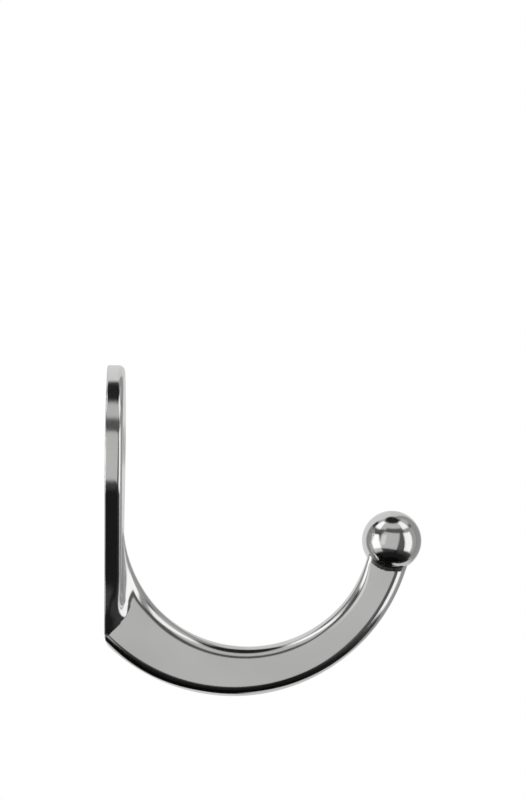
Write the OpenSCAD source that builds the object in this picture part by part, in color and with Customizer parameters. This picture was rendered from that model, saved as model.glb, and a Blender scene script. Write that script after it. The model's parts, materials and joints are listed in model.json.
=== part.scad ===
// Wall-mounted garment hook: one casting with a teardrop back plate, a tapered J-shaped arm and a ball end.
// The wall is the plane y = 0 and the arm reaches out along -Y. The origin is midway between the screw holes.

/* [Back plate] */
// Radius of the round upper end of the plate
plate_r = 14.5; // [13:0.1:17]
// Height of the centre of the round end above the screw holes
plate_rise = -1.6; // [-3:0.1:0]
// Thickness of the plate
plate_t = 2.8; // [2.4:0.1:4]
// Angle of each tapered side of the plate to its centre line
tail_angle = 26; // [23:0.5:29]
// Radius along the front edge of the plate
plate_edge_r = 0.9; // [0.5:0.05:1.2]

/* [Screw holes] */
// Distance between the centres of the two screw holes
hole_spacing = 15; // [13.5:0.1:16]
// Diameter of each screw hole
hole_d = 4.3; // [3.6:0.1:5]
// Diameter of each countersink at the front face
sink_d = 7.7; // [6.6:0.1:8.4]
// Full angle of each countersink
sink_angle = 82; // [80:1:100]

/* [Arm] */
// Radius of the inside of the arm
inner_r = 20.1; // [17:0.1:24]
// Mean depth of the arm from its inside to its underside
arm_depth = 9.1; // [8:0.1:10.5]
// How far the centre of the underside lies nearer to the wall than the centre of the inside
arm_back = 2.35; // [1.5:0.05:3]
// How far the centre of the underside lies above the centre of the inside
arm_rise = 1; // [0.4:0.05:1.6]
// How far the underside meets the wall below the end of the plate's tapered sides
root_drop = 3.1; // [2.4:0.1:4]
// Width of the arm at the wall
arm_wall_w = 5.8; // [5:0.1:7]
// Width of the arm at the ball
arm_ball_w = 4.2; // [3.8:0.1:5]
// Radius along the inside edges of the arm
inside_edge_r = 2; // [1:0.1:2.4]
// Radius along the underside edges of the arm
under_edge_r = 1.8; // [0.8:0.1:1.9]
// Radius of the heel, where the underside of the arm meets the wall
heel_r = 0.9; // [0.4:0.1:1.4]
// Radius of the fillet between the arm and the front of the plate
root_r = 2; // [1.2:0.1:2.6]

/* [Ball] */
// Diameter of the ball
ball_d = 9.6; // [8.6:0.1:12]
// Angle of the ball below the level of the centre of the inside
ball_angle = 7; // [0:0.5:20]

/* [Hidden] */
$fn = 128;

// Small overlap that lets surfaces cross cleanly where they would only touch
lap = 0.05;
// Smaller overlap where fillets and tapered sides run out, so that they end nearly flush
fillet_lap = 0.02;

// The plate's tapered sides: where they would meet, and where they are as narrow as the arm
tail_reach = plate_r - fillet_lap;
tail_point_z = plate_rise - tail_reach / sin(tail_angle);
tail_end_z = tail_point_z + arm_wall_w / 2 / tan(tail_angle);
tail_side_len = tail_reach / tan(tail_angle);
// The tapered tail is cut off inside the arm, at this share of the arm's width
tail_cut_share = 0.9;
tail_cut_z = tail_point_z + tail_cut_share * arm_wall_w / 2 / tan(tail_angle);

// Centres of the arm's two arcs, as distance from the wall and height
inner_out = plate_t + inner_r - lap;
under_r = inner_r + arm_depth;
under_out = inner_out - arm_back;
under_z = tail_end_z - root_drop + sqrt(under_r ^ 2 - under_out ^ 2);
inner_z = under_z - arm_rise;

// The ball sits on the ray from the centre of the inside, halfway through the arm
ball_ray = [cos(ball_angle), -sin(ball_angle)];
ray_shift = ball_ray * [-arm_back, arm_rise];
under_reach = ray_shift + sqrt(ray_shift ^ 2 - arm_back ^ 2 - arm_rise ^ 2 + under_r ^ 2);
ball_reach = (inner_r + under_reach) / 2;
ball_out = inner_out + ball_reach * ball_ray.x;
ball_z = inner_z + ball_reach * ball_ray.y;

// Each side of the arm leans inwards by this angle from the wall to the ball
arm_lean = atan((arm_wall_w - arm_ball_w) / 2 / ball_out);
// The inside edge never takes more than the arm's half width at the ball
inside_round = min(inside_edge_r, arm_ball_w / 2 - lap);

// The heel's round: its centre, seen from the centre of the underside, and a reach beyond it
heel_out = heel_r - fillet_lap;
heel_back = under_out - arm_wall_w / 2 * tan(arm_lean) - heel_out;
heel_drop = sqrt((under_r - heel_out) ^ 2 - heel_back ^ 2);
heel_ray = [-heel_back, -heel_drop] / (under_r - heel_out);
heel_reach = 4 * heel_r;

// Centre of the root fillet beside the arm, as distance from the centre line and from the wall
fillet_out = plate_t + root_r - fillet_lap;
fillet_x = arm_wall_w / 2 - fillet_out * tan(arm_lean) + (root_r - fillet_lap) / cos(arm_lean);

// Far enough to clear the whole hook
far = 2 * (under_r + plate_r);

// Turns a front view, drawn as across and up, so that its third axis points out from the wall
module from_wall() {
    rotate([90, 0, 0]) children();
}

// Extrudes a side view, drawn as out from the wall and up, from the centre line to the given width
module from_side(width) {
    translate([width, 0, 0])
        rotate([90, 0, -90])
            linear_extrude(width) children();
}

// Section through the plate's rim, from an inner end to the rounded front edge at the given reach
module rim_section(reach, inner_end) {
    difference() {
        translate([inner_end, 0])
            square([reach - inner_end, plate_t]);
        translate([reach - plate_edge_r, plate_t - plate_edge_r])
            difference() {
                square(2 * plate_edge_r);
                circle(plate_edge_r);
            }
    }
}

// One tapered side of the plate, seen from the front
module tail_side() {
    rotate([0, 0, -tail_angle])
        rotate([90, 0, 0])
            linear_extrude(tail_side_len) rim_section(tail_reach, -plate_r);
}

module plate() {
    from_wall() translate([0, plate_rise, 0]) {
        rotate_extrude() rim_section(plate_r, 0);
        intersection() {
            tail_side();
            mirror([1, 0, 0]) tail_side();
            translate([-plate_r, tail_cut_z - plate_rise, 0])
                cube([2 * plate_r, far, plate_t]);
        }
    }
}

// The tapered part of the plate's outline, carried forward as far as the root fillet reaches
module tail_prism() {
    from_wall()
        linear_extrude(fillet_out)
            polygon([
                [0, tail_point_z],
                [tail_reach * cos(tail_angle), plate_rise - tail_reach * sin(tail_angle)],
                [0, plate_rise]
            ]);
}

// Fillet strip between one side of the arm and the front of the plate
module root_fillet() {
    intersection() {
        tail_prism();
        translate([0, 0, tail_cut_z])
            linear_extrude(inner_z - tail_cut_z)
                difference() {
                    translate([0, -fillet_out]) square([fillet_x, fillet_out]);
                    translate([fillet_x, -fillet_out]) circle(root_r);
                }
    }
}

// Places a revolved shape about an axis square to one side of the arm, with that side at height zero
module about_side(out, z) {
    translate([arm_wall_w / 2, 0, 0])
        rotate([0, 0, -arm_lean])
            translate([0, -out, z])
                rotate([0, 90, 0])
                    rotate_extrude() children();
}

// Disc bounded by the underside of the arm
module under_disc() {
    about_side(under_out, under_z)
        difference() {
            translate([0, -arm_wall_w]) square([under_r, arm_wall_w]);
            translate([under_r - under_edge_r, -under_edge_r])
                difference() {
                    square(2 * under_edge_r);
                    circle(under_edge_r);
                }
        }
}

// Space inside the hook: it rounds outwards over the edge of the arm, then runs out into the root fillet
module inside_space() {
    lip = inner_r + inside_round;
    about_side(inner_out, inner_z)
        difference() {
            translate([0, -arm_wall_w]) square([lip + root_r, arm_wall_w + fillet_lap + root_r]);
            translate([inner_r, -arm_wall_w]) square([far, arm_wall_w - inside_round + fillet_lap]);
            translate([lip, fillet_lap - inside_round]) circle(inside_round);
            translate([lip, -arm_wall_w]) square([far, arm_wall_w + fillet_lap]);
            translate([lip, fillet_lap])
                difference() {
                    square(2 * root_r);
                    translate([0, root_r]) circle(root_r);
                }
        }
}

// Side view of the corner outside the heel's round
module heel_corner() {
    translate([heel_out, under_z - heel_drop])
        difference() {
            polygon([[0, 0], [-heel_reach, 0], heel_reach * heel_ray]);
            circle(heel_r);
        }
}

// Side view of the sector that holds the arm, from the wall round to the centre of the ball
module arm_sector() {
    difference() {
        polygon([
            [0, inner_z],
            [inner_out, inner_z],
            [inner_out, inner_z] + far * ball_ray,
            [far, -far],
            [0, -far]
        ]);
        heel_corner();
    }
}

module arm_half() {
    difference() {
        union() {
            intersection() {
                from_side(arm_wall_w) arm_sector();
                under_disc();
            }
            root_fillet();
        }
        inside_space();
    }
}

module screw_hole() {
    sink_depth = (sink_d - hole_d) / 2 / tan(sink_angle / 2);
    sink_over = lap * tan(sink_angle / 2);
    translate([0, 0, -lap]) cylinder(d = hole_d, h = plate_t + 2 * lap);
    translate([0, 0, plate_t - sink_depth])
        cylinder(d1 = hole_d, d2 = sink_d + 2 * sink_over, h = sink_depth + lap);
}

module hook() {
    color("gainsboro")
        difference() {
            union() {
                plate();
                arm_half();
                mirror([1, 0, 0]) arm_half();
                translate([0, -ball_out, ball_z]) sphere(d = ball_d);
            }
            for (side = [-1, 1])
                from_wall() translate([side * hole_spacing / 2, 0, 0]) screw_hole();
        }
}

hook();
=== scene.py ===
"""A chrome-plated garment hook, seen from its side in a white light tent."""

import json
import math
from collections import namedtuple

import bpy
import numpy as np
from mathutils import Matrix, Vector


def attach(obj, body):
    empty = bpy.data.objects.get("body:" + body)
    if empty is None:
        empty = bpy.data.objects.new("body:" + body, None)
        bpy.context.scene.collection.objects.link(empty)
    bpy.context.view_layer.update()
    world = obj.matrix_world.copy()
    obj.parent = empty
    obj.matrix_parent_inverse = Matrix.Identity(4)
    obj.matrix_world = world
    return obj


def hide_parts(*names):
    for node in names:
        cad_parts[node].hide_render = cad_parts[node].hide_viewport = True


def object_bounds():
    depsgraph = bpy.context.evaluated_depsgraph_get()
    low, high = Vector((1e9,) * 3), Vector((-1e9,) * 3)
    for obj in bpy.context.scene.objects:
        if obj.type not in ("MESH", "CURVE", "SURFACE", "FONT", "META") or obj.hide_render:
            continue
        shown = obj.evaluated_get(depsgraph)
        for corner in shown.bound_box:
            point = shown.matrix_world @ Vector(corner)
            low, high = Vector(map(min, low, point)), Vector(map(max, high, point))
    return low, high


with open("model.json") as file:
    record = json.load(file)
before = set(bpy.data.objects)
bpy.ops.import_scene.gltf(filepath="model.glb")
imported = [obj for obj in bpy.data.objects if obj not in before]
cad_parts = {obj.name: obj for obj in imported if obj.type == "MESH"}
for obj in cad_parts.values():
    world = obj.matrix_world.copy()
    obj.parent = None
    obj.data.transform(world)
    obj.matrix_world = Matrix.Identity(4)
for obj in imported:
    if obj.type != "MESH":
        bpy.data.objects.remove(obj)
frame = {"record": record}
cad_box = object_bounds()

MM = 0.001

# Sizes that the frame gives, in millimetres
low, high = (corner / MM for corner in cad_box)
mounts = {mount["name"]: mount["dims"] for mount in frame["record"]["mounts"]}
screws = mounts["wall_screws"]
PLATE_R = high.x
PLATE_Z = high.z - PLATE_R
HOLE_R = screws["hole_r_mm"]
HOLE_X = screws["spacing_x_mm"] / 2

# Plate, in millimetres
PLATE_T = 2.8
PLATE_EDGE_R = 1.0
BACK_EDGE_R = 0.2
TAIL_ANGLE = math.radians(26)
# Along the tail the front edge's round shrinks with the width that the plate has to spare beside the arm
TAIL_EDGE_R = 0.25
TAIL_EDGE_SHARE = 0.45

# Screw holes, in millimetres: their satin metal ends at a margin from the plate's faces
SINK_R = 3.85
SINK_HALF_ANGLE = math.radians(41)
SINK_EDGE_R = 0.2
SINK_CLEAR = 1.0
SINK_MARGIN = 0.05

# Ball, in millimetres
BALL_R = 4.8
BALL_OUT = -low.y - BALL_R
BALL_ANGLE = math.radians(7)
NECK_R = 0.12
# The sides of the arm rise towards the ball, at this slope and from this far off
NECK_RISE = 0.5
NECK_REACH = 0.62
NECK_BLEND = 0.1

# Arm, in millimetres: the inside and the underside are arcs about two centres
INNER_R = 20.1
ARM_DEPTH = 9.1
ARM_BACK = 2.35
ARM_RISE = 1.0
INNER_OUT = PLATE_T + INNER_R
UNDER_R = INNER_R + ARM_DEPTH
UNDER_OUT = INNER_OUT - ARM_BACK
UNDER_Z = low.z + UNDER_R
INNER_Z = UNDER_Z - ARM_RISE
BALL_Z = INNER_Z - (BALL_OUT - INNER_OUT) * math.tan(BALL_ANGLE)
ARM_WALL_HALF = 2.9
ARM_BALL_HALF = 2.1
ARM_LEAN = (ARM_WALL_HALF - ARM_BALL_HALF) / BALL_OUT
UNDER_EDGE_R = 2.05
INSIDE_EDGE_WALL_R = 3.3
INSIDE_EDGE_BALL_R = 2.25
CREST_BLEND = 0.5
HEEL_R = 0.9
# The plate's tapered tail ends inside the arm, at this share of the arm's width
TAIL_CUT_SHARE = 0.7
TAIL_CUT_HALF = TAIL_CUT_SHARE * ARM_WALL_HALF
TAIL_CUT_Z = PLATE_Z + (TAIL_CUT_HALF * math.cos(TAIL_ANGLE) - PLATE_R) / math.sin(TAIL_ANGLE)

# Root of the arm, in millimetres: its fillet and inside edges shrink where the arm rises out of the plate,
# and the fillet is smaller where the tail is no wider than the arm
ROOT_R = 2.6
ROOT_SHARE = 0.75
INSIDE_SHARE = 0.9
TAIL_ROOT_R = 1.8
TAIL_ROOT_SHARE = 0.1
TAIL_BLEND = 0.5
# Towards the end of the tail its sides turn: they spread along the wall and draw in away from it
TURN_WIDER = 0.7
TURN_NARROWER = 1.0
TURN_START_Z = -21.0
TURN_FULL_Z = -28.0
TURN_WIDE_OUT = 0.4
TURN_NARROW_OUT = 5.0

# Mesh of the casting, with lengths in millimetres
GRID_STEP = 0.25
GRID_MARGIN = 0.6
GRADIENT_STEP = 0.01
LEAST_SQUARED_SLOPE = 1e-6
PULL_ROUNDS = 4
EVEN_ROUNDS = 4
EVEN_PULL_ROUNDS = 2

# Chrome, with lengths in metres: faint clouds of tint, a fine grain of roughness and slow waves
CHROME_DARK = (0.71, 0.705, 0.695)
CHROME_LIGHT = (0.8, 0.8, 0.8)
CLOUD_SCALE = 70
CLOUD_DETAIL = 2
CHROME_ROUGHNESS = (0.09, 0.15)
CHROME_GRAIN_SCALE = 1500
CHROME_GRAIN_DETAIL = 4
WAVE_SCALE = 110
WAVE_DETAIL = 1
WAVE_DEPTH = 0.00006
WAVE_STRENGTH = 1

# Satin metal, with lengths in metres: rings about each hole and a fine grain of roughness
SATIN_DARK = (0.62, 0.59, 0.57)
SATIN_LIGHT = (0.78, 0.76, 0.75)
SATIN_ROUGHNESS = (0.24, 0.36)
SATIN_GRAIN_SCALE = 1800
SATIN_GRAIN_DETAIL = 3
RING_SCALE = 900
RING_WOBBLE = 0.6
RING_DEPTH = 0.00004
RING_STRENGTH = 0.4

# Nearly all values of a noise lie in this span
NOISE_SPAN = (0.3, 0.7)

# Light tent: its radius in metres, the degrees from point to point, and its brightness between the panels
TENT_R = 0.55
TENT_STEP = 2
TENT_DARK = 0.003

# A panel's reach across and up and the softness of its edges are in degrees. Across counts from the side
# of the hook that faces the camera, with 90 at its front, and up counts from the level. Over each degree,
# the upright edges lean and the level edges fall by the given share.
Panel = namedtuple("Panel", "across up brightness soft lean fall", defaults=(0, 0))

# Left and right are as the camera sees them in the metal. The far side's panels run on past the seam at 180.
PANELS = (
    # Broad grey panel at the side, brighter at its left, with a dim bar at its right and dim glows below
    Panel((-41, 29.5), (-31.5, 31.5), 0.57, 5, lean=-0.2, fall=0.1),
    Panel((-46, -18), (-20, 28), 0.8, 18, lean=-0.2),
    Panel((20, 49), (-34, 33), 0.11, 6),
    Panel((-45, 14), (-43, -20), 0.05, 12),
    Panel((26, 115), (-47, -20), 0.05, 18),
    Panel((-60, 120), (-66, -30), 0.012, 12),
    # White boxes at its left and right, the left one with a grey foot
    Panel((-87, -48), (-27, 21.5), 1.3, 6, lean=0.25),
    Panel((-94, -50), (-39.5, -15), 0.62, 8, lean=0.25),
    Panel((52, 86), (-32.5, 27), 1.2, 6, lean=0.12),
    # Dim bars above those
    Panel((-100, 50), (26, 50), 0.1, 8),
    Panel((54, 100), (22, 48), 0.34, 10),
    # Upper row: grey in the middle and lower at the left, white at both sides, and grey beyond those
    Panel((-62, 52), (47.5, 70.5), 0.58, 9, fall=0.05),
    Panel((-66, -26), (42, 66), 0.58, 9),
    Panel((-94, -56), (40, 70.5), 1.3, 8),
    Panel((-128, -90), (54, 73), 0.5, 8),
    Panel((53, 92), (38, 67), 1.15, 7),
    Panel((90, 126), (42, 65.5), 0.5, 8),
    # Faint glow overhead
    Panel((-190, 190), (68, 100), 0.018, 8),
    # In front of the hook and behind it
    Panel((86, 110), (-34, 34), 0.42, 6),
    Panel((-122, -86), (-40, 36), 0.27, 8),
    # Round its far side, with feet that reach lower
    Panel((-190, -118), (-44, 72), 0.75, 8),
    Panel((-190, -150), (-71, -30), 0.75, 8),
    Panel((110, 150), (-42, 72), 0.35, 8),
    Panel((150, 190), (-44, 72), 0.7, 8),
    Panel((150, 190), (-71, -30), 0.7, 8),
    Panel((127, 160), (-80, -30), 0.65, 10),
)

# Floor, in metres, and the daylight on it
FLOOR_DROP = 0.65
FLOOR_SIZE = 6.0
FLOOR_ALBEDO = 0.8
DAYLIGHT = 0.6

# Camera: the frame's height, a pixel's size at the hook, and the point of the hook in the frame's middle
FRAME_H_PX = 800
PIXEL = 0.1611 * MM
AIM_OUT = 25.08 * MM
AIM_Z = 7.56 * MM
CAMERA_ROLL = math.radians(0.7)
# Its distance and clipping in metres, and its sensor in millimetres
CAMERA_FAR = 1.2
CLIP_START = 0.05
CLIP_END = 10
SENSOR = 36.0


# Joining solids given as signed distances

def rounded_and(a, b, radius):
    """Overlap of two solids, with a convex round along their edge."""
    corner = np.hypot(np.maximum(a + radius, 0), np.maximum(b + radius, 0))
    return np.minimum(np.maximum(a, b), -radius) + corner


def filleted_or(a, b, radius):
    """Two solids joined, with a concave fillet in their corner."""
    corner = np.hypot(np.maximum(radius - a, 0), np.maximum(radius - b, 0))
    return np.maximum(np.minimum(a, b), radius) - corner


def soft_least(a, b, power=4, tiny=1e-4):
    """The lesser of two lengths, with a smooth change from one to the other."""
    return (np.maximum(a, tiny) ** -power + np.maximum(b, tiny) ** -power) ** (-1 / power)


def soft_positive(a, blend):
    """A length where it is positive and nought where it is negative, with a smooth change."""
    return (a + np.hypot(a, blend)) / 2


def soft_abs(x):
    """Distance from the middle, with no crease there and about true at the sides of the arm."""
    return np.hypot(x, CREST_BLEND) - CREST_BLEND ** 2 / (ARM_WALL_HALF + ARM_BALL_HALF)


def smooth_step(value, first, last):
    """Nought before a first value and one past a last one, with a smooth change between them."""
    share = np.clip((value - first) / (last - first), 0, 1)
    return share ** 2 * (3 - 2 * share)


# Signed distances of the hook's parts, for points given as across, out from the wall, and height

def tail_half_width(z):
    """Half width of the plate between its straight sides at a height."""
    return (PLATE_R + (z - PLATE_Z) * math.sin(TAIL_ANGLE)) / math.cos(TAIL_ANGLE)


def tail_spare(z):
    """How much wider the tail is than the arm, on each side, at a height."""
    return soft_positive(tail_half_width(z) - ARM_WALL_HALF, TAIL_BLEND)


def tail_turn(out, z):
    """How far the tail's sides stand out beyond their straight line."""
    near_wall = smooth_step(out, TURN_NARROW_OUT, TURN_WIDE_OUT)
    full = (TURN_WIDER + TURN_NARROWER) * near_wall - TURN_NARROWER
    return full * smooth_step(z, TURN_START_Z, TURN_FULL_Z)


def outline(x, out, z):
    """Teardrop outline of the plate: a round upper end and two straight sides that turn near their end."""
    across, up = np.abs(x), z - PLATE_Z
    past_round = -across * math.sin(TAIL_ANGLE) - up * math.cos(TAIL_ANGLE)
    side = across * math.cos(TAIL_ANGLE) - up * math.sin(TAIL_ANGLE) - PLATE_R
    return np.where(past_round > 0, side - tail_turn(out, z), np.hypot(across, up) - PLATE_R)


def inside_proud(z):
    """How far the inside of the arm stands out from the plate's front at a height."""
    half_chord = np.sqrt(np.maximum(INNER_R ** 2 - (z - INNER_Z) ** 2, 0))
    return INNER_OUT - half_chord - PLATE_T


def root_radius(z):
    """Radius of the fillet between the arm and the plate at a height."""
    full = soft_least(ROOT_R, ROOT_SHARE * inside_proud(z))
    return soft_least(full, TAIL_ROOT_R + TAIL_ROOT_SHARE * tail_spare(z))


def plate(x, out, z, hanger):
    """The plate with the arm's root fillets inside its outline, before it is cut off at the wall."""
    front = filleted_or(out - PLATE_T, hanger, root_radius(z))
    edge_r = soft_least(PLATE_EDGE_R, TAIL_EDGE_R + TAIL_EDGE_SHARE * tail_spare(z))
    return np.maximum(rounded_and(front, outline(x, out, z), edge_r), TAIL_CUT_Z - z)


def ball(x, out, z):
    """The ball at the end of the arm."""
    return np.sqrt(x ** 2 + (out - BALL_OUT) ** 2 + (z - BALL_Z) ** 2) - BALL_R


def arm(x, out, z):
    """Crescent arm, from its heel on the wall round to the ball."""
    neck = NECK_RISE * soft_positive(NECK_REACH - ball(x, out, z), NECK_BLEND)
    flank = soft_abs(x) - ARM_WALL_HALF + ARM_LEAN * out - neck
    inner = INNER_R - np.hypot(out - INNER_OUT, z - INNER_Z)
    under = np.hypot(out - UNDER_OUT, z - UNDER_Z) - UNDER_R
    along = np.clip(out / BALL_OUT, 0, 1)
    edge_r = INSIDE_EDGE_WALL_R + (INSIDE_EDGE_BALL_R - INSIDE_EDGE_WALL_R) * along
    solid = np.maximum(rounded_and(flank, under, UNDER_EDGE_R), rounded_and(under, -out, HEEL_R))
    solid = rounded_and(solid, inner, soft_least(edge_r, INSIDE_SHARE * inside_proud(z)))
    past_ball = (out - INNER_OUT) * math.sin(BALL_ANGLE) + (z - INNER_Z) * math.cos(BALL_ANGLE)
    return np.maximum(solid, np.maximum(past_ball, z - INNER_Z))


def screw_holes(x, out, z):
    """Both countersunk holes."""
    from_axis = np.hypot(np.abs(x) - HOLE_X, z)
    sink = from_axis - SINK_R + (PLATE_T - out) * math.tan(SINK_HALF_ANGLE)
    hole = np.minimum(from_axis - HOLE_R, sink * math.cos(SINK_HALF_ANGLE))
    return np.maximum(hole, out - PLATE_T - SINK_CLEAR)


def casting(x, out, z):
    """The whole hook: negative inside the metal, positive outside it."""
    hanger = filleted_or(arm(x, out, z), ball(x, out, z), NECK_R)
    body = np.minimum(plate(x, out, z, hanger), hanger)
    body = rounded_and(body, -out, BACK_EDGE_R)
    return rounded_and(body, -screw_holes(x, out, z), SINK_EDGE_R)


# Meshing

def grid_axis(first, last):
    """Grid lines that cover a span, with a margin at both ends."""
    count = math.ceil((last - first + 2 * GRID_MARGIN) / GRID_STEP)
    return first - GRID_MARGIN + GRID_STEP * np.arange(count + 1)


def edge_ends(values, axis):
    """Values at the two ends of each grid edge along an axis."""
    count = values.shape[axis]
    return np.take(values, range(count - 1), axis), np.take(values, range(1, count), axis)


def net_points(values, start):
    """One point in each grid cell that the zero level passes through, and the points' numbers by cell."""
    shape = np.array(values.shape)
    total = np.zeros((*(shape - 1), 3))
    hits = np.zeros(shape - 1, int)
    for axis in range(3):
        side_a, side_b = (other for other in range(3) if other != axis)
        head, tail = edge_ends(values, axis)
        crossed = (head < 0) != (tail < 0)
        share = np.where(crossed, head / np.where(crossed, head - tail, 1), 0)
        for step_a, step_b in ((0, 0), (0, 1), (1, 0), (1, 1)):
            window = [slice(None)] * 3
            window[side_a] = slice(step_a, step_a + shape[side_a] - 1)
            window[side_b] = slice(step_b, step_b + shape[side_b] - 1)
            seen = crossed[tuple(window)]
            hits += seen
            total[..., axis] += share[tuple(window)]
            total[..., side_a] += seen * step_a
            total[..., side_b] += seen * step_b
    cells = np.argwhere(hits > 0)
    found = tuple(cells.T)
    numbers = np.full(hits.shape, -1)
    numbers[found] = np.arange(len(cells))
    points = start + GRID_STEP * (cells + total[found] / hits[found][:, None])
    return points, numbers


def net_quads(inside, numbers):
    """A quad round each grid edge that runs through the surface, facing out of the solid."""
    quads = []
    for axis in range(3):
        side_a, side_b = (axis + 1) % 3, (axis + 2) % 3
        head, tail = edge_ends(inside, axis)
        for edges, order in ((np.argwhere(head & ~tail), 1), (np.argwhere(~head & tail), -1)):
            corners = []
            for back_a, back_b in ((1, 1), (0, 1), (0, 0), (1, 0)):
                cell = edges.copy()
                cell[:, side_a] -= back_a
                cell[:, side_b] -= back_b
                corners.append(numbers[tuple(cell.T)])
            quads.append(np.stack(corners[::order], 1))
    return np.concatenate(quads)


def slope(points):
    """Gradient of the casting's distance at each point."""
    columns = []
    for axis in range(3):
        nudge = np.zeros(3)
        nudge[axis] = GRADIENT_STEP
        ahead = casting(*(points + nudge).T)
        behind = casting(*(points - nudge).T)
        columns.append((ahead - behind) / (2 * GRADIENT_STEP))
    return np.stack(columns, 1)


def pull_to_surface(points, rounds):
    """Moves points along the gradient until they lie on the casting's surface."""
    for _ in range(rounds):
        grade = slope(points)
        squared = np.maximum((grade ** 2).sum(1), LEAST_SQUARED_SLOPE)
        move = (casting(*points.T) / squared)[:, None] * grade
        points = points - np.clip(move, -GRID_STEP, GRID_STEP)
    return points


def even_out(points, quads):
    """Moves each point halfway to the middle of its neighbours and back to the surface."""
    ends = np.concatenate([quads[:, [i, (i + 1) % 4]] for i in range(4)])
    counts = np.bincount(ends[:, 0], minlength=len(points))
    counts = counts + np.bincount(ends[:, 1], minlength=len(points))
    for _ in range(EVEN_ROUNDS):
        middle = np.zeros_like(points)
        for axis in range(3):
            middle[:, axis] += np.bincount(ends[:, 0], points[ends[:, 1], axis], len(points))
            middle[:, axis] += np.bincount(ends[:, 1], points[ends[:, 0], axis], len(points))
        points = pull_to_surface((points + middle / counts[:, None]) / 2, EVEN_PULL_ROUNDS)
    return pull_to_surface(points, PULL_ROUNDS)


def casting_mesh():
    """Points, quads and surface normals of the casting, as across, out from the wall, and height."""
    x_line = grid_axis(-PLATE_R, PLATE_R)
    out_line = grid_axis(0, -low.y)
    z_line = grid_axis(low.z, high.z)
    out, z = np.meshgrid(out_line, z_line, indexing="ij")
    values = np.stack([casting(np.full_like(out, x), out, z) for x in x_line])
    points, numbers = net_points(values, np.array([x_line[0], out_line[0], z_line[0]]))
    quads = net_quads(values < 0, numbers)
    points = even_out(pull_to_surface(points, PULL_ROUNDS), quads)
    normals = slope(points)
    return points, quads, normals / np.linalg.norm(normals, axis=1)[:, None]


def to_frame(vectors):
    """Across, out and up as the frame's x, y and z, where the arm reaches along -Y."""
    return vectors * np.array([1, -1, 1])


# Shader nodes

def add_node(tree, kind, inputs, **settings):
    """A new shader node. Each input is given as a value or as another node's output."""
    node = tree.nodes.new("ShaderNode" + kind)
    for name, setting in settings.items():
        setattr(node, name, setting)
    for key, value in inputs.items():
        if isinstance(value, bpy.types.NodeSocket):
            tree.links.new(value, node.inputs[key])
        else:
            node.inputs[key].default_value = value
    return node


def new_material(name):
    """A material with no nodes yet."""
    material = bpy.data.materials.new(name)
    material.use_nodes = True
    material.node_tree.nodes.clear()
    return material


def noise(tree, place, scale, detail):
    """Smooth random values between nought and one."""
    texture = add_node(tree, "TexNoise", {"Vector": place, "Scale": scale, "Detail": detail})
    return texture.outputs["Fac"]


def ranged(tree, value, first, last):
    """Maps the span of a noise on to the given one."""
    ramp = add_node(tree, "MapRange", {
        "Value": value,
        "From Min": NOISE_SPAN[0],
        "From Max": NOISE_SPAN[1],
        "To Min": first,
        "To Max": last,
    })
    return ramp.outputs["Result"]


def tinted(tree, factor, dark, light):
    """A tint between two, from dark at nought to light at one."""
    tints = {"A": (*dark, 1), "B": (*light, 1), "Factor": factor}
    return add_node(tree, "Mix", tints, data_type="RGBA").outputs["Result"]


def bumped(tree, height, depth, strength):
    """Normals of a surface with the given heights."""
    bump = add_node(tree, "Bump", {"Height": height, "Distance": depth, "Strength": strength})
    return bump.outputs["Normal"]


def metal(tree, tint, roughness, normal):
    """Gives a material the surface of a metal."""
    look = {"Metallic": 1, "Base Color": tint, "Roughness": roughness, "Normal": normal}
    shader = add_node(tree, "BsdfPrincipled", look)
    add_node(tree, "OutputMaterial", {"Surface": shader.outputs["BSDF"]})


# Materials

def chrome():
    """Bright plating: nearly a mirror, with faint clouds and slow waves from polishing."""
    material = new_material("chrome")
    tree = material.node_tree
    place = add_node(tree, "TexCoord", {}).outputs["Object"]
    clouds = ranged(tree, noise(tree, place, CLOUD_SCALE, CLOUD_DETAIL), 0, 1)
    grain = noise(tree, place, CHROME_GRAIN_SCALE, CHROME_GRAIN_DETAIL)
    waves = noise(tree, place, WAVE_SCALE, WAVE_DETAIL)
    metal(
        tree,
        tinted(tree, clouds, CHROME_DARK, CHROME_LIGHT),
        ranged(tree, grain, *CHROME_ROUGHNESS),
        bumped(tree, waves, WAVE_DEPTH, WAVE_STRENGTH),
    )
    return material


def hole_rings(tree, place):
    """Rings about the axis of the nearer hole."""
    split = add_node(tree, "SeparateXYZ", {"Vector": place})
    fold = add_node(tree, "Math", {0: split.outputs["X"]}, operation="ABSOLUTE")
    offset = add_node(tree, "Math", {0: fold.outputs["Value"], 1: HOLE_X * MM}, operation="SUBTRACT")
    from_hole = add_node(tree, "CombineXYZ", {"X": offset.outputs["Value"], "Y": split.outputs["Z"]})
    pattern = {"Vector": from_hole.outputs["Vector"], "Scale": RING_SCALE, "Distortion": RING_WOBBLE}
    rings = add_node(tree, "TexWave", pattern, wave_type="RINGS", rings_direction="Z")
    return rings.outputs["Fac"]


def satin():
    """Turned metal of the countersinks: fine rings about each hole under a thin plating."""
    material = new_material("satin")
    tree = material.node_tree
    place = add_node(tree, "TexCoord", {}).outputs["Object"]
    rings = hole_rings(tree, place)
    grain = noise(tree, place, SATIN_GRAIN_SCALE, SATIN_GRAIN_DETAIL)
    metal(
        tree,
        tinted(tree, rings, SATIN_DARK, SATIN_LIGHT),
        ranged(tree, grain, *SATIN_ROUGHNESS),
        bumped(tree, rings, RING_DEPTH, RING_STRENGTH),
    )
    return material


# The hook

def in_countersink(x, out, z):
    """Whether a point of the casting's surface lies in a screw hole."""
    beside_axis = np.hypot(np.abs(x) - HOLE_X, z) < SINK_R
    return beside_axis & (out > SINK_MARGIN) & (out < PLATE_T - SINK_MARGIN)


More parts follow.
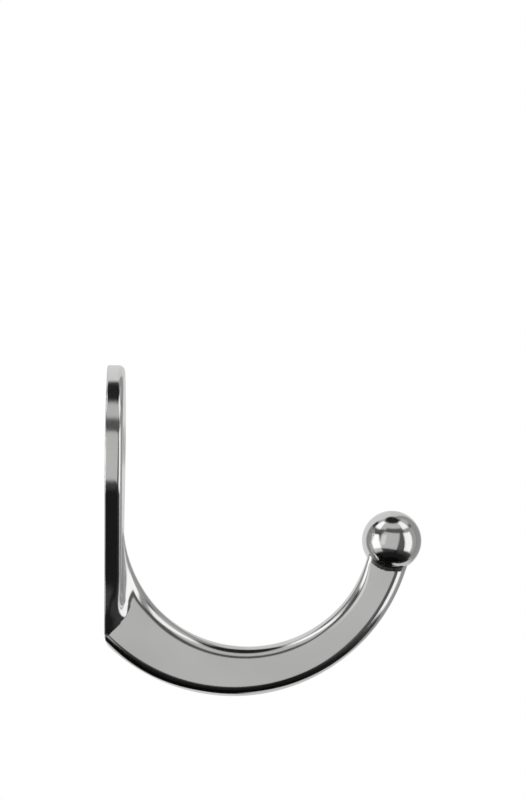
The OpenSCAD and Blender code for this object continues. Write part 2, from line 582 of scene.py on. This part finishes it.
def make_hook():
    """The casting, in chrome, with satin countersinks."""
    points, quads, normals = casting_mesh()
    mesh = bpy.data.meshes.new("hook_casting")
    # The frame mirrors the quads, so their corners are taken in reverse
    mesh.from_pydata((to_frame(points) * MM).tolist(), [], quads[:, ::-1].tolist())
    mesh.materials.append(chrome())
    mesh.materials.append(satin())
    in_sink = in_countersink(*points[quads].mean(1).T)
    mesh.polygons.foreach_set("material_index", in_sink.astype(np.int32))
    mesh.shade_smooth()
    mesh.normals_split_custom_set_from_vertices(to_frame(normals).tolist())
    mesh.update()
    piece = bpy.data.objects.new("hook_casting", mesh)
    bpy.context.scene.collection.objects.link(piece)
    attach(piece, "root")
    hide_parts("hook")
    print("hook_casting:", len(points), "points,", 2 * len(quads), "triangles")


# The light tent: a sphere round the hook, with soft-edged panels, that shows only in its reflections

def soft_window(angle, first, last, soft):
    """One between two angles and nought outside them, with soft edges."""
    return smooth_step(np.minimum(angle - first, last - angle), -soft / 2, soft / 2)


def tent_brightness(turn, rise):
    """Brightness of the tent in each direction, where the brightest panel counts."""
    brightness = np.full_like(turn, TENT_DARK)
    for panel in PANELS:
        across = soft_window(turn + panel.lean * rise, *panel.across, panel.soft)
        up = soft_window(rise + panel.fall * turn, *panel.up, panel.soft)
        brightness = np.maximum(brightness, panel.brightness * (across * up))
    return brightness


def tent_material():
    """Glows as brightly as the mesh's own values say."""
    material = new_material("tent")
    tree = material.node_tree
    level = add_node(tree, "Attribute", {}, attribute_name="level")
    glow = add_node(tree, "Emission", {"Strength": level.outputs["Fac"]})
    add_node(tree, "OutputMaterial", {"Surface": glow.outputs["Emission"]})
    return material


def make_tent():
    """The tent, which neither the camera nor the floor sees."""
    columns, rows = 360 // TENT_STEP, 180 // TENT_STEP
    turn, rise = np.meshgrid(np.linspace(-180, 180, columns + 1), np.linspace(-90, 90, rows + 1))
    east, north = np.radians(turn), np.radians(rise)
    points = TENT_R * np.stack(
        [-np.cos(east) * np.cos(north), -np.sin(east) * np.cos(north), np.sin(north)], -1
    )
    middle = np.array(sum(cad_box, Vector()) / 2)
    first = (np.arange(rows)[:, None] * (columns + 1) + np.arange(columns)).ravel()
    faces = np.stack([first, first + 1, first + columns + 2, first + columns + 1], 1)
    mesh = bpy.data.meshes.new("tent")
    mesh.from_pydata((points.reshape(-1, 3) + middle).tolist(), [], faces.tolist())
    level = mesh.attributes.new("level", "FLOAT", "POINT")
    level.data.foreach_set("value", tent_brightness(turn, rise).ravel())
    mesh.materials.append(tent_material())
    tent = bpy.data.objects.new("tent", mesh)
    bpy.context.scene.collection.objects.link(tent)
    tent.visible_camera = False
    tent.visible_diffuse = False
    tent.visible_shadow = False


# Surroundings

def background_rays(tree):
    """One for rays that the camera sees straight, in metal or through glass, and nought for light."""
    path = add_node(tree, "LightPath", {})
    total = path.outputs["Is Camera Ray"]
    for ray in ("Is Glossy Ray", "Is Transmission Ray"):
        either = add_node(tree, "Math", {0: total, 1: path.outputs[ray]}, operation="MAXIMUM")
        total = either.outputs["Value"]
    return total


def floor_material():
    """Pale, with a glow that makes up what it lacks in light, so that it meets a white background."""
    material = new_material("floor")
    tree = material.node_tree
    diffuse = add_node(tree, "BsdfDiffuse", {"Color": (FLOOR_ALBEDO, FLOOR_ALBEDO, FLOOR_ALBEDO, 1)})
    lacking = {0: background_rays(tree), 1: 1 - FLOOR_ALBEDO * DAYLIGHT}
    lift = add_node(tree, "Math", lacking, operation="MULTIPLY")
    glow = add_node(tree, "Emission", {"Strength": lift.outputs["Value"]})
    both = add_node(tree, "AddShader", {0: diffuse.outputs["BSDF"], 1: glow.outputs["Emission"]})
    add_node(tree, "OutputMaterial", {"Surface": both.outputs["Shader"]})
    return material


def make_floor():
    """Floor far below the hook."""
    bpy.ops.mesh.primitive_plane_add(size=FLOOR_SIZE, location=(0, 0, -FLOOR_DROP))
    floor = bpy.context.object
    floor.name = "floor"
    floor.data.materials.append(floor_material())


def make_world():
    """Soft even daylight, white where it is seen."""
    world = bpy.data.worlds.new("studio")
    world.use_nodes = True
    tree = world.node_tree
    tree.nodes.clear()
    level = add_node(tree, "MapRange", {"Value": background_rays(tree), "To Min": DAYLIGHT, "To Max": 1})
    sky = add_node(tree, "Background", {"Color": (1, 1, 1, 1), "Strength": level.outputs["Result"]})
    add_node(tree, "OutputWorld", {"Surface": sky.outputs["Background"]})
    bpy.context.scene.world = world


def make_camera():
    """Looks at the hook's side along +X, through a long lens and with a slight roll."""
    data = bpy.data.cameras.new("camera")
    data.sensor_width = SENSOR
    data.lens = SENSOR * CAMERA_FAR / (FRAME_H_PX * PIXEL)
    data.clip_start = CLIP_START
    data.clip_end = CLIP_END
    camera = bpy.data.objects.new("camera", data)
    # Its right is along -Y, its top along +Z and its back along -X
    facing = Matrix(((0, 0, -1), (-1, 0, 0), (0, 1, 0))).to_4x4()
    place = Matrix.Translation((-CAMERA_FAR, -AIM_OUT, AIM_Z))
    camera.matrix_world = place @ facing @ Matrix.Rotation(CAMERA_ROLL, 4, "Z")
    bpy.context.scene.collection.objects.link(camera)
    bpy.context.scene.camera = camera


make_hook()
make_tent()
make_floor()
make_world()
make_camera()
bpy.context.scene.view_settings.view_transform = "Standard"
